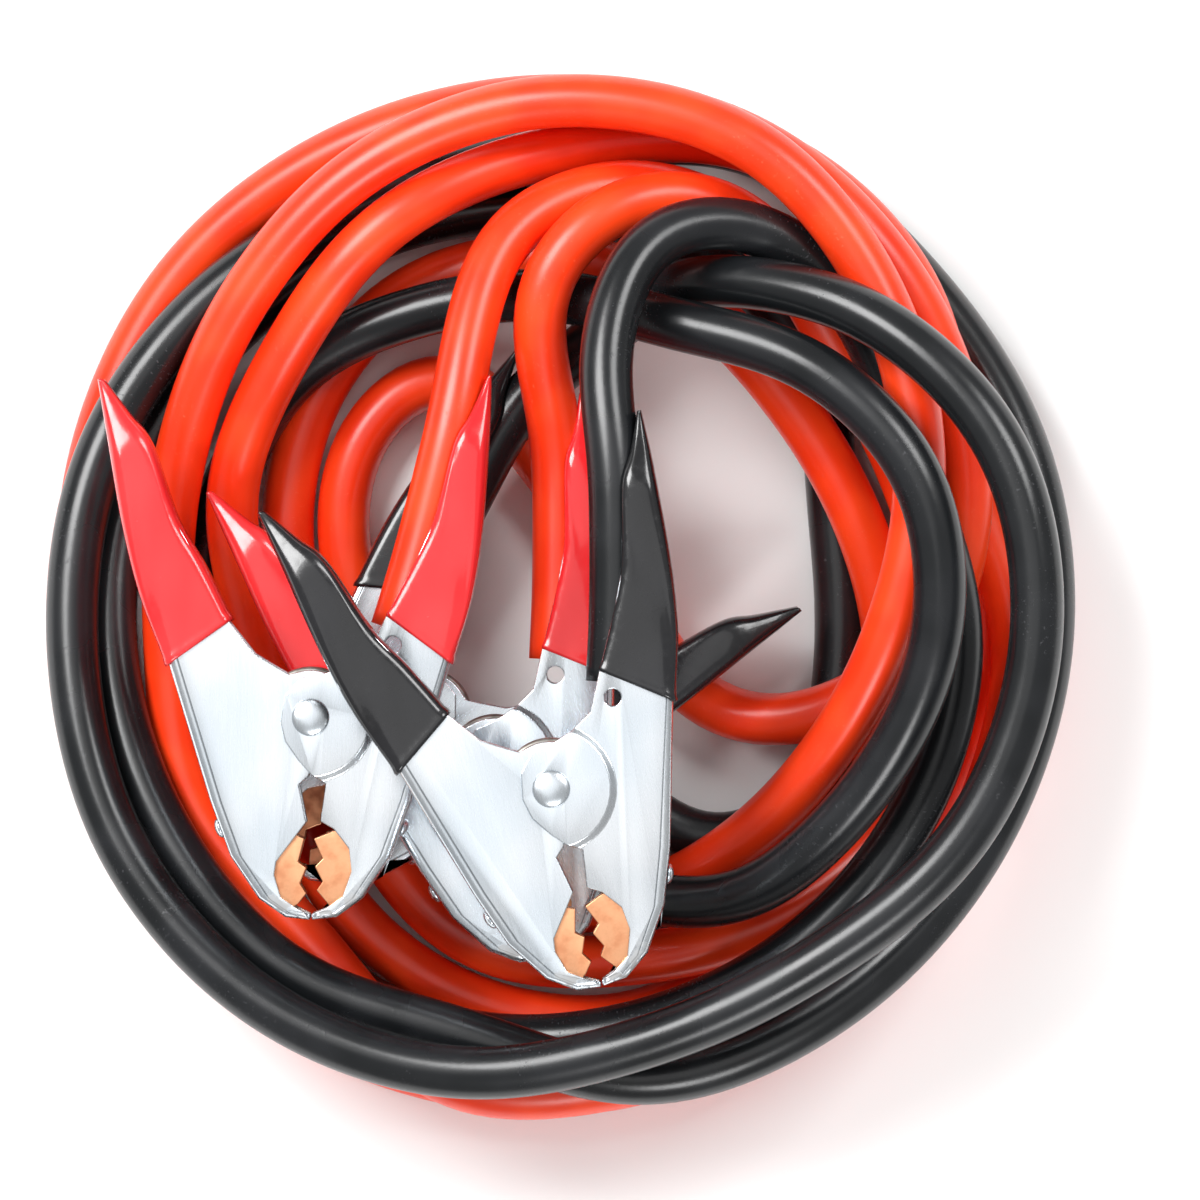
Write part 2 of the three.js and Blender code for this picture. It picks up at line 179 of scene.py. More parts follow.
RED_ROUTE = Route(
    start="red_clamp_2",
    end="red_clamp_1",
    lead_in=((-0.0045, 0.0915, 0.064), (0.022, 0.12, 0.062), (0.0595, 0.1155, 0.048)),
    first_turns=Turns(
        start=48,
        sense=1,
        stations=(
            (0.1155, 0.035), (0.114, 0.025), (0.12, 0.021), (0.126, 0.024), (0.1205, 0.0255),
            (0.113, 0.0205), (0.1095, 0.0115), (0.0925, 0.0085), (0.0715, 0.0085), (0.0775, 0.0085),
            (0.086, 0.0085), (0.0965, 0.0085), (0.1045, 0.014), (0.104, 0.0225), (0.1005, 0.027),
            (0.094, 0.028), (0.0955, 0.0255), (0.1035, 0.0175), (0.114, 0.01), (0.1215, 0.0085),
            (0.1315, 0.0085), (0.126, 0.0085), (0.1135, 0.009), (0.0945, 0.0085), (0.092, 0.0175),
            (0.1035, 0.0295), (0.1095, 0.04), (0.124, 0.0505), (0.1355, 0.038), (0.151, 0.029),
            (0.1465, 0.0295), (0.131, 0.027), (0.143, 0.025), (0.1465, 0.0305), (0.15, 0.0365),
            (0.148, 0.04), (0.151, 0.038), (0.127, 0.0285), (0.1265, 0.0235), (0.1175, 0.0245),
            (0.1205, 0.032), (0.1295, 0.0425), (0.142, 0.053), (0.15, 0.063), (0.1495, 0.0695),
            (0.134, 0.0705), (0.1165, 0.0725), (0.102, 0.0685), (0.095, 0.053), (0.094, 0.0325),
            (0.096, 0.0135), (0.092, 0.0085), (0.064, 0.0085), (0.0545, 0.0085), (0.059, 0.0085),
            (0.0685, 0.009), (0.078, 0.0115),
        ),
    ),
    turn_back=(
        (-0.031, 0.07, 0.0105), (-0.0035, 0.042, 0.01), (0.02, 0.007, 0.0105), (0.0415, -0.0295, 0.0085),
        (0.0755, -0.0375, 0.022),
    ),
    second_turns=Turns(
        start=96,
        sense=-1,
        stations=(
            (0.1155, 0.0375), (0.1325, 0.044), (0.143, 0.0515), (0.151, 0.053), (0.151, 0.0445),
            (0.151, 0.027), (0.151, 0.013), (0.1475, 0.0085), (0.144, 0.0085), (0.1445, 0.0085),
            (0.151, 0.0085), (0.151, 0.0085), (0.15, 0.009), (0.1385, 0.009), (0.133, 0.0085),
            (0.1335, 0.0085), (0.1275, 0.0105), (0.127, 0.0185), (0.129, 0.032),
        ),
    ),
    lead_out=(
        (0.02, 0.1255, 0.0455), (-0.013, 0.1115, 0.057), (-0.0245, 0.0815, 0.0685),
    ),
)


class Material(Enum):
    """The record's material slots."""

    RED_CABLE = "red_cable_jacket"
    BLACK_CABLE = "black_cable_jacket"
    RED_GRIP = "red_grip_vinyl"
    BLACK_GRIP = "black_grip_vinyl"
    ZINC = "zinc_steel"
    SPRING = "spring_steel"
    COPPER = "copper_insert"


Looks = dict[Material, bpy.types.Material]


class Value:
    """A shader socket that adds Math nodes when it is used in an expression."""

    def __init__(self, tree: Tree, source: Any) -> None:
        """Wraps a node's output socket, or a plain number.

        Args:
            tree: the node tree that gets the Math nodes.
            source: the socket or number.
        """
        self.tree = tree
        self.source = source

    def math(self, operation: str, *others: Any) -> Value:
        """Adds a Math node.

        Args:
            operation: the Math node's operation.
            others: further operands, values or numbers.

        Returns:
            The node's result.
        """
        return Value(self.tree, node(self.tree, "ShaderNodeMath", {"operation": operation}, self, *others))

    def __add__(self, other: Any) -> Value:
        """Sum."""
        return self.math("ADD", other)

    __radd__ = __add__

    def __mul__(self, other: Any) -> Value:
        """Product."""
        return self.math("MULTIPLY", other)

    __rmul__ = __mul__

    def __sub__(self, other: Any) -> Value:
        """Difference."""
        return self.math("SUBTRACT", other)

    def __rsub__(self, other: Any) -> Value:
        """Reflected difference, such as 1 - mask."""
        return Value(self.tree, other).math("SUBTRACT", self)

    def clamped(self, low: float, high: float) -> Value:
        """The value, ramped smoothly from 0 at low to 1 at high."""
        settings = {"interpolation_type": "SMOOTHSTEP"}
        return Value(self.tree, node(self.tree, "ShaderNodeMapRange", settings, self, low, high, 0.0, 1.0))


def node(tree: Tree, kind: str, settings: dict[str, Any], *inputs: Any, **named: Any) -> Any:
    """Adds a node.

    Args:
        tree: the material's node tree.
        kind: the node's type.
        settings: properties set before its sockets are filled.
        inputs: values or links for the first sockets, in order.
        named: values or links for sockets by name, with _ for a space.

    Returns:
        The node's first enabled output.
    """
    made = tree.nodes.new(kind)
    for key, value in settings.items():
        setattr(made, key, value)
    sockets = [s for s in made.inputs if s.enabled]
    pairs = list(zip(sockets, inputs))
    pairs += [(made.inputs[key.replace("_", " ")], value) for key, value in named.items()]
    for socket, value in pairs:
        plain = value.source if isinstance(value, Value) else value
        if isinstance(plain, bpy.types.NodeSocket):
            tree.links.new(plain, socket)
        else:
            socket.default_value = plain
    return next(s for s in made.outputs if s.enabled)


def mixed(tree: Tree, mask: Value, first: Any, second: Any) -> Any:
    """Colour mix.

    Args:
        tree: the node tree.
        mask: 0 gives first, 1 gives second.
        first: colour or link.
        second: colour or link.

    Returns:
        The mixed colour's socket.
    """
    return node(tree, "ShaderNodeMix", {"data_type": "RGBA"}, mask, first, second)


def noise(tree: Tree, vector: Any, scale: float, detail: float = 3.0) -> Value:
    """A noise pattern's value on the given coordinates."""
    return Value(tree, node(tree, "ShaderNodeTexNoise", {}, Vector=vector, Scale=scale, Detail=detail))


def stretched(tree: Tree, vector: Any, scale: Point) -> Any:
    """Coordinates scaled by a factor on each axis."""
    return node(tree, "ShaderNodeVectorMath", {"operation": "MULTIPLY"}, vector, scale)


def object_place(tree: Tree) -> Any:
    """The Object coordinates' socket."""
    return tree.nodes.new("ShaderNodeTexCoord").outputs["Object"]


def attribute(tree: Tree, name: str) -> Any:
    """A mesh attribute's vector socket."""
    made = tree.nodes.new("ShaderNodeAttribute")
    made.attribute_name = name
    return made.outputs["Vector"]


def split(tree: Tree, vector: Any) -> tuple[Value, Value, Value]:
    """A vector's three parts as values."""
    made = tree.nodes.new("ShaderNodeSeparateXYZ")
    tree.links.new(vector, made.inputs[0])
    return tuple(Value(tree, s) for s in made.outputs)


@dataclass(frozen=True)
class Finish:
    """What all finishes share: a named material with one Principled shader."""

    slot: Material

    def start(self) -> tuple[bpy.types.Material, Tree, bpy.types.Node]:
        """Starts a material.

        Returns:
            The fresh material, its node tree and its shader.
        """
        material = bpy.data.materials.new(self.slot.value)
        material.use_nodes = True
        tree = material.node_tree
        return material, tree, tree.nodes["Principled BSDF"]

    def bump(self, tree: Tree, shader: bpy.types.Node, height: Value, strength: float, depth: float) -> None:
        """Feeds a height through Bump to the shader's Normal.

        Args:
            tree: the material's node tree.
            shader: the Principled shader.
            height: the pattern that rises and falls.
            strength: how much of it shows.
            depth: its height in metres.
        """
        normal = node(tree, "ShaderNodeBump", {}, Strength=strength, Distance=depth, Height=height)
        tree.links.new(normal, shader.inputs["Normal"])


@dataclass(frozen=True)
class JacketFinish(Finish):
    """Cable PVC: an even colour, faint blotches, and short scuffs across the cable."""

    colour: Point = (1.0, 0.060, 0.008, 1.0)
    deep: Point = (0.86, 0.036, 0.005, 1.0)
    scuff: Point = (1.0, 0.17, 0.07, 1.0)
    scuff_amount: float = 0.25
    roughness: float = 0.30

    def build(self) -> bpy.types.Material:
        """Makes the material.

        Returns:
            The material, with its patterns linked to the shader.
        """
        material, tree, shader = self.start()
        around_along = attribute(tree, "along")
        place = object_place(tree)
        blotch = noise(tree, place, 38.0, 2.0).clamped(0.35, 0.7)
        across = noise(tree, stretched(tree, around_along, (0.35, 1.0, 1.0)), 900.0, 2.0).clamped(0.62, 0.78)
        patches = noise(tree, place, 24.0, 1.0).clamped(0.5, 0.62)
        scuffs = across * patches
        base = mixed(tree, blotch, self.deep, self.colour)
        colour = mixed(tree, scuffs * self.scuff_amount, base, self.scuff)
        tree.links.new(colour, shader.inputs["Base Color"])
        rough = scuffs * 0.2 + blotch * 0.05 + self.roughness
        tree.links.new(rough.source, shader.inputs["Roughness"])
        grain = noise(tree, place, 700.0, 2.0) * 0.4 + across * 0.6
        self.bump(tree, shader, grain, 0.12, 0.0002)
        return material


@dataclass(frozen=True)
class VinylFinish(Finish):
    """Dipped vinyl grip: glossy, with soft wrinkles along the handle."""

    colour: Point = (0.70, 0.016, 0.020, 1.0)
    light: Point = (0.84, 0.035, 0.038, 1.0)
    roughness: float = 0.16
    wrinkle: float = 0.28

    def build(self) -> bpy.types.Material:
        """Makes the material.

        Returns:
            The material, with its patterns linked to the shader.
        """
        material, tree, shader = self.start()
        own = attribute(tree, "own")
        soft = noise(tree, stretched(tree, own, (1.0, 0.35, 1.0)), 55.0, 2.0)
        fine = noise(tree, own, 420.0, 3.0)
        tint = mixed(tree, soft.clamped(0.35, 0.75), self.colour, self.light)
        tree.links.new(tint, shader.inputs["Base Color"])
        rough = fine.clamped(0.4, 0.8) * 0.12 + self.roughness
        tree.links.new(rough.source, shader.inputs["Roughness"])
        shader.inputs["Coat Weight"].default_value = 0.3
        self.bump(tree, shader, soft * 0.9 + fine * 0.06, self.wrinkle, 0.0016)
        return material


@dataclass(frozen=True)
class ZincFinish(Finish):
    """Zinc-plated sheet: bright, faintly streaked, worn and darker round the jaws, with painted shade along a
    pressed line beside each spine.
    """

    colour: Point = (0.90, 0.93, 0.96, 1.0)
    cool: Point = (0.76, 0.83, 0.89, 1.0)
    worn: Point = (0.36, 0.35, 0.34, 1.0)
    shade: Point = (0.16, 0.18, 0.20, 1.0)
    roughness: float = 0.22
    line_inset: float = 0.0031
    line_edge: Point = (0.00012, 0.00036)
    spine_lines: tuple[Point, ...] = (
        (0.0300, -0.0250, 0.305),
        (0.0240, -0.0415, 0.364),
        (0.0155, -0.0542, 0.669),
        (0.0076, -0.0597, 1.436),
    )

    def build(self) -> bpy.types.Material:
        """Makes the material.

        Returns:
            The material, with its patterns linked to the shader.
        """
        material, tree, shader = self.start()
        own = attribute(tree, "own")
        across, along, _ = split(tree, own)
        cloud = noise(tree, own, 26.0, 2.0).clamped(0.3, 0.75)
        streak = noise(tree, stretched(tree, own, (14.0, 1.6, 14.0)), 90.0, 3.0)
        jaw = 1 - along.clamped(-0.058, -0.044)
        wear = noise(tree, own, 260.0, 5.0).clamped(0.5, 0.6) * jaw
        line = self.press_line(across, along)
        base = mixed(tree, cloud, self.cool, self.colour)
        # the pressed line darkens the colour toward the shade colour: painted shade in its groove, over the
        # real dent from the bump
        crease_shaded = mixed(tree, line * 0.75, base, self.shade)
        colour = mixed(tree, wear * 0.8, crease_shaded, self.worn)
        tree.links.new(colour, shader.inputs["Base Color"])
        shader.inputs["Metallic"].default_value = 1.0
        rough = streak * 0.1 + wear * 0.3 + self.roughness
        tree.links.new(rough.source, shader.inputs["Roughness"])
        dish = noise(tree, own, 24.0, 1.0)
        self.bump(tree, shader, dish * 3.0 + streak * 0.05 - line * 0.3, 0.2, 0.0012)
        return material

    def press_line(self, across: Value, along: Value) -> Value:
        """A fine line pressed beside each spine: where the distance from the spine's outline is line_inset.
        Its mask dents the bump and darkens the colour as painted shade in the groove.

        The outline's half width is the least of four straight lines, each x0 + slope (y - y0).

        Args:
            across: the own frame's X.
            along: the own frame's Y.

        Returns:
            1 on the line and 0 off it.
        """
        outline = None
        for x0, y0, slope in self.spine_lines:
            straight = along * slope + (x0 - slope * y0)
            outline = straight if outline is None else outline.math("MINIMUM", straight)
        inset = outline - across.math("ABSOLUTE")
        low, high = self.line_edge
        return 1 - (inset - self.line_inset).math("ABSOLUTE").clamped(low, high)


@dataclass(frozen=True)
class PlainMetalFinish(Finish):
    """Copper plate or spring wire: a metal with mottling and fine scratches."""

    colour: Point = (0.9, 0.45, 0.24, 1.0)
    dark: Point = (0.6, 0.26, 0.13, 1.0)
    roughness: float = 0.34
    metallic: float = 0.85

    def build(self) -> bpy.types.Material:
        """Makes the material.

        Returns:
            The material, with its patterns linked to the shader.
        """
        material, tree, shader = self.start()
        own = attribute(tree, "own")
        mottle = noise(tree, own, 210.0, 4.0).clamped(0.3, 0.62)
        tree.links.new(mixed(tree, mottle, self.dark, self.colour), shader.inputs["Base Color"])
        shader.inputs["Metallic"].default_value = self.metallic
        rough = (1 - mottle) * 0.2 + self.roughness
        tree.links.new(rough.source, shader.inputs["Roughness"])
        self.bump(tree, shader, noise(tree, own, 900.0, 2.0), 0.15, 0.0002)
        return material


def finishes() -> Looks:
    """Builds every finish once.

    Returns:
        The material for each of the record's slots.
    """
    kinds: list[Any] = [
        JacketFinish(Material.RED_CABLE),
        JacketFinish(
            Material.BLACK_CABLE,
            colour=(0.013, 0.014, 0.016, 1.0),
            deep=(0.007, 0.008, 0.009, 1.0),
            scuff=(0.09, 0.09, 0.10, 1.0),
            scuff_amount=0.45,
            roughness=0.24,
        ),
        VinylFinish(Material.RED_GRIP),
        VinylFinish(
            Material.BLACK_GRIP,
            colour=(0.008, 0.008, 0.009, 1.0),
            light=(0.014, 0.014, 0.016, 1.0),
            roughness=0.2,
            wrinkle=0.38,
        ),
        ZincFinish(Material.ZINC),
        PlainMetalFinish(
            Material.SPRING,
            colour=(0.42, 0.40, 0.37, 1.0),
            dark=(0.2, 0.18, 0.16, 1.0),
            roughness=0.3,
            metallic=1.0,
        ),
        PlainMetalFinish(Material.COPPER),
    ]
    return {kind.slot: kind.build() for kind in kinds}


# Mesh making
def new_piece(name: str, points: np.ndarray, faces: Sequence[Any], smooth: bool = True) -> Piece:
    """A mesh object from points in metres and faces.

    Args:
        name: the piece's name.
        points: one row for each vertex.
        faces: vertex indices of each face.
        smooth: shade smooth.

    Returns:
        The object, linked to the scene and sitting at the origin.
    """
    mesh = bpy.data.meshes.new(name)
    mesh.from_pydata(np.asarray(points).tolist(), [], [list(f) for f in faces])
    mesh.polygons.foreach_set("use_smooth", np.full(len(mesh.polygons), smooth))
    mesh.update()
    piece = bpy.data.objects.new(name, mesh)
    bpy.context.scene.collection.objects.link(piece)
    return piece


def grid_faces(rows: int, columns: int, wrap: bool) -> np.ndarray:
    """Quads of a grid whose vertex in row r and column c is number r * columns + c.

    Args:
        rows: rows of vertices.
        columns: vertices in a row.
        wrap: join the last column to the first.

    Returns:
        Four vertex numbers for each quad.
    """
    row, column = np.meshgrid(np.arange(rows - 1), np.arange(columns if wrap else columns - 1), indexing="ij")
    here = row * columns + column
    beside = row * columns + (column + 1) % columns
    return np.stack([here, beside, beside + columns, here + columns], axis=-1).reshape(-1, 4)


def catmull_rom(stations: np.ndarray, per_span: int) -> np.ndarray:
    """A uniform Catmull-Rom curve: each span blends its four nearest stations by cubic weights.

    Args:
        stations: the points it passes through.
        per_span: points on each span.

    Returns:
        The curve's points, the last station included.
    """
    padded = np.vstack([2 * stations[0] - stations[1], stations, 2 * stations[-1] - stations[-2]])
    u = np.linspace(0, 1, per_span, endpoint=False)[None, :, None]
    a, b, c, d = (padded[k:len(padded) - 3 + k][:, None, :] for k in range(4))
    cubic = b + 0.5 * u * (c - a + u * (2 * a - 5 * b + 4 * c - d + u * (3 * (b - c) + d - a)))
    return np.vstack([cubic.reshape(-1, 3), stations[-1]])


def evenly(points: np.ndarray, count: int) -> np.ndarray:
    """The line resampled at even distances along itself.

    Args:
        points: the line.
        count: points wanted.

    Returns:
        The new points, both ends kept.
    """
    length = np.r_[0, np.cumsum(np.linalg.norm(np.diff(points, axis=0), axis=1))]
    marks = np.linspace(0, length[-1], count)
    return np.column_stack([np.interp(marks, length, points[:, k]) for k in range(3)])


def eased(points: np.ndarray, reach: int) -> np.ndarray:
    """The line smoothed by a bell-shaped average over its neighbours, its two ends kept.

    Args:
        points: the line, evenly spaced.
        reach: the bell's spread, in points.

    Returns:
        As many points as before. Beyond each end the line is mirrored through its end point.
    """
    weights = np.exp(-0.5 * (np.arange(-3 * reach, 3 * reach + 1) / reach) ** 2)
    weights /= weights.sum()
    pad = 3 * reach
    head = 2 * points[0] - points[pad:0:-1]
    tail = 2 * points[-1] - points[-2:-pad - 2:-1]
    long = np.vstack([head, points, tail])
    return np.column_stack([np.convolve(long[:, k], weights, mode="valid") for k in range(3)])


def carried_frames(points: np.ndarray) -> tuple[np.ndarray, np.ndarray]:
    """Two unit vectors across a line that lies mostly flat: sideways, and upwards off it.

    Args:
        points: the line.

    Returns:
        The sideways and the upward vectors, one row for each point.
    """
    tangent = np.gradient(points, axis=0)
    tangent /= np.linalg.norm(tangent, axis=1)[:, None]
    side = np.cross(tangent, (0.0, 0.0, 1.0))
    side /= np.linalg.norm(side, axis=1)[:, None]
    return side, np.cross(side, tangent)


def tube(name: str, line: np.ndarray, radius: float, sides: int) -> Piece:
    """A round tube carried along a line: point + r (cos t side + sin t up), with flat closed ends.

    Args:
        name: the piece's name.
        line: the centreline's points.
        radius: the tube's radius.
        sides: vertices round it.

    Returns:
        The tube, with the attribute "along" holding its unrolled surface in metres.
    """
    side, up = carried_frames(line)
    turn = np.linspace(0, 2 * np.pi, sides, endpoint=False)
    cosine, sine = np.cos(turn)[None, :, None], np.sin(turn)[None, :, None]
    ring = radius * (cosine * side[:, None, :] + sine * up[:, None, :])
    rings = (line[:, None, :] + ring).reshape(-1, 3)
    count = len(line)
    last = (count - 1) * sides
    faces = [list(f) for f in grid_faces(count, sides, True)[:, ::-1]]
    faces += [list(range(sides)), list(range(last + sides - 1, last - 1, -1))]
    piece = new_piece(name, rings, faces)
    length = np.r_[0, np.cumsum(np.linalg.norm(np.diff(line, axis=0), axis=1))]
    unrolled = np.zeros((count, sides, 3))
    unrolled[:, :, 0] = np.sin(turn)[None, :] * radius
    unrolled[:, :, 2] = np.cos(turn)[None, :] * radius
    unrolled[:, :, 1] = length[:, None]
    store = piece.data.attributes.new("along", "FLOAT_VECTOR", "POINT")
    store.data.foreach_set("vector", unrolled.astype(np.float32).ravel())
    return piece


def outward(piece: Piece) -> None:
    """Merges a mesh's doubled vertices and turns its faces one way, outwards if it is closed.

    Args:
        piece: the piece whose mesh is mended.
    """
    work = bmesh.new()
    work.from_mesh(piece.data)
    bmesh.ops.remove_doubles(work, verts=work.verts, dist=SAME_PLACE)
    bmesh.ops.recalc_face_normals(work, faces=work.faces)
    work.to_mesh(piece.data)
    work.free()


@dataclass(frozen=True)
class ClampPlace:
    """Where a clamp lies: pivot, turn to the right as seen from above, and whether it is turned over."""

    name: str
    pivot: Point
    turn: float
    flipped: bool

    def matrix(self) -> np.ndarray:
        """Rotation from the clamp's own frame to the row frame."""
        own = Matrix.Rotation(math.pi if self.flipped else 0.0, 3, "Y")
        return np.array(Matrix.Rotation(-math.radians(self.turn), 3, "Z") @ own)

    def to_world(self, points: np.ndarray) -> np.ndarray:
        """Own points to the row frame."""
        return np.asarray(points) @ self.matrix().T + np.array(self.pivot)

    def to_own(self, points: np.ndarray) -> np.ndarray:
        """Row frame points to the clamp's own frame."""
        return (np.asarray(points) - np.array(self.pivot)) @ self.matrix()


def keep_own(piece: Piece, place: ClampPlace) -> None:
    """Stores each vertex's place in the clamp's own frame as the attribute "own".

    Args:
        piece: a finished piece of the clamp.
        place: the clamp's place.
    """
    count = len(piece.data.vertices)
    flat = np.zeros(count * 3)
    piece.data.vertices.foreach_get("co", flat)
    own = place.to_own(flat.reshape(-1, 3)).astype(np.float32)
    store = piece.data.attributes.new("own", "FLOAT_VECTOR", "POINT")
    store.data.foreach_set("vector", own.ravel())


def line_through(points: Sequence[Point], count: int) -> np.ndarray:
    """A smooth line in a clamp's plane through a few points.

    Args:
        points: (x, y) in millimetres.
        count: points wanted.

    Returns:
        Even points in metres, at height 0.
    """
    flat = np.column_stack([np.array(points) / 1000, np.zeros(len(points))])
    return evenly(catmull_rom(flat, 12), count)


def revolved(name: str, profile: np.ndarray, centre: Point, axis: Point, sides: int) -> Piece:
    """A turned piece: centre + height * axis + radius (cos t a + sin t b), for each profile point.

    Args:
        name: the piece's name.
        profile: (radius, height) from pole to pole.
        centre: where height is 0.
        axis: unit direction of height.
        sides: vertices round it.

    Returns:
        The closed piece, its poles merged.
    """
    direction = np.array(axis)
    across = np.cross(direction, (0.0, 0.0, 1.0) if abs(direction[2]) < 0.9 else (1.0, 0.0, 0.0))
    across /= np.linalg.norm(across)
    third = np.cross(direction, across)
    turn = np.linspace(0, 2 * np.pi, sides, endpoint=False)
    around = np.cos(turn)[:, None] * across + np.sin(turn)[:, None] * third
    radius, height = profile[:, 0][:, None, None], profile[:, 1][:, None, None]
    rings = np.array(centre) + height * direction + radius * around
    piece = new_piece(name, rings.reshape(-1, 3), grid_faces(len(profile), sides, True))
    outward(piece)
    return piece


def dome(radius: float, height: float, low: float, steps: int) -> np.ndarray:
    """A quarter ellipse from the rim to the pole: (radius cos a, low + height sin a).

    Args:
        radius: the rim's radius.
        height: how far the pole stands over the rim.
        low: the rim's height.
        steps: points on it.

    Returns:
        The profile's (radius, height) rows.
    """
    angle = np.linspace(0, np.pi / 2, steps)
    return np.column_stack([radius * np.cos(angle), low + height * np.sin(angle)])


@dataclass
class Studio:
    """Camera straight above, pale floor, and large soft lights."""

    floor_side: float = 9.0
    lights: tuple[tuple[Point, float, float], ...] = (
        ((-1.2, 1.0, 1.9), 1.1, 62.0),
        ((1.3, 1.2, 1.9), 0.9, 28.0),
        ((0.3, -1.7, 1.8), 0.7, 20.0),
        ((-0.45, 0.4, 3.9), 2.4, 13.5),
    )
    world_strength: float = 0.36

    def camera(self) -> None:
        """Hangs the camera over the photograph's middle, its frame scaled at the coil's mid height."""
        middle = PHOTO_SIDE_PIXELS / 2
        x = (middle - COIL_MIDDLE_PIXEL[0]) * PHOTO_METRES_PER_PIXEL + FRAME_SHIFT_X
        y = -(middle - COIL_MIDDLE_PIXEL[1]) * PHOTO_METRES_PER_PIXEL
        data = bpy.data.cameras.new("camera")
        data.sensor_width = SENSOR_WIDTH * 1000
        width = PHOTO_SIDE_PIXELS * PHOTO_METRES_PER_PIXEL
        data.lens = data.sensor_width * (CAMERA_HEIGHT - REFERENCE_HEIGHT) / width
        data.clip_end = 50
        camera = bpy.data.objects.new("camera", data)
        camera.location = (x, y, CAMERA_HEIGHT)
        bpy.context.scene.collection.objects.link(camera)
        bpy.context.scene.camera = camera
        log.info("camera: lens %.0f mm at %.3f, %.3f", data.lens, x, y)

    def floor(self) -> None:
        """Lays the pale floor."""
        half = self.floor_side / 2
        corners = np.array([[-half, -half, 0], [half, -half, 0], [half, half, 0], [-half, half, 0]])
        floor = new_piece("floor", corners, [[0, 1, 2, 3]], smooth=False)
        material = bpy.data.materials.new("floor")
        material.use_nodes = True
        shader = material.node_tree.nodes["Principled BSDF"]
        shader.inputs["Base Color"].default_value = (0.97, 0.97, 0.965, 1.0)
        shader.inputs["Roughness"].default_value = 0.9
        floor.data.materials.append(material)

    def light(self) -> None:
        """Hangs the soft lights round the camera and sets a pale surround."""
        for k, (place, side, power) in enumerate(self.lights):
            data = bpy.data.lights.new(f"soft_light_{k + 1}", "AREA")
            data.shape = "SQUARE"
            data.size = side
            data.energy = power
            lamp = bpy.data.objects.new(data.name, data)
            lamp.location = place
            lamp.rotation_euler = (-Vector(place)).to_track_quat("-Z", "Y").to_euler()
            bpy.context.scene.collection.objects.link(lamp)
        world = bpy.data.worlds.new("surround")
        world.use_nodes = True
        background = world.node_tree.nodes["Background"]
        background.inputs["Color"].default_value = (1.0, 1.0, 1.0, 1.0)
        background.inputs["Strength"].default_value = self.world_strength
        bpy.context.scene.world = world
        bpy.context.scene.view_settings.view_transform = "Standard"


@dataclass
class CoiledCable:
    """One jacketed cable from clamp to clamp."""

    name: str
    route: Route
    length: float
    slot: Material
    sides: int = 24
    spacing: float = 0.004
    ease: int = 3

    def line(self, clamps: dict[str, ClampPlace], shift: np.ndarray) -> np.ndarray:
        """The centreline: the route's stations joined by a smooth curve, in the row frame.

        Args:
            clamps: the four clamps' places.
            shift: from the source's coordinates to the row frame.

        Returns:
            Even points along the cable.
        """
        grip = np.array([(x, y, 0.0) for x, y in CABLE_IN_GRIP])
        first = clamps[self.route.start].to_world(grip)
        last = clamps[self.route.end].to_world(grip)[::-1]
        stations = np.vstack([first, self.route.free_points() + shift, last])
        dense = catmull_rom(stations, SPAN_POINTS)
        steps = int(round(np.linalg.norm(np.diff(dense, axis=0), axis=1).sum() / self.spacing))
        return eased(evenly(dense, steps + 1), self.ease)

    def build(self, clamps: dict[str, ClampPlace], shift: np.ndarray, looks: Looks) -> None:
        """Args:
            clamps: the four clamps' places.
            shift: from the source's coordinates to the row frame.
            looks: the finished materials.
        """
        line = self.line(clamps, shift)
        piece = tube(f"{self.name}_jacket", line, CABLE_DIAMETER / 2, self.sides)
        piece.data.materials.append(looks[self.slot])
        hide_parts(self.name)
        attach(piece, "leads")
        log.info("%s: %.3f m long", piece.name, np.linalg.norm(np.diff(line, axis=0), axis=1).sum())


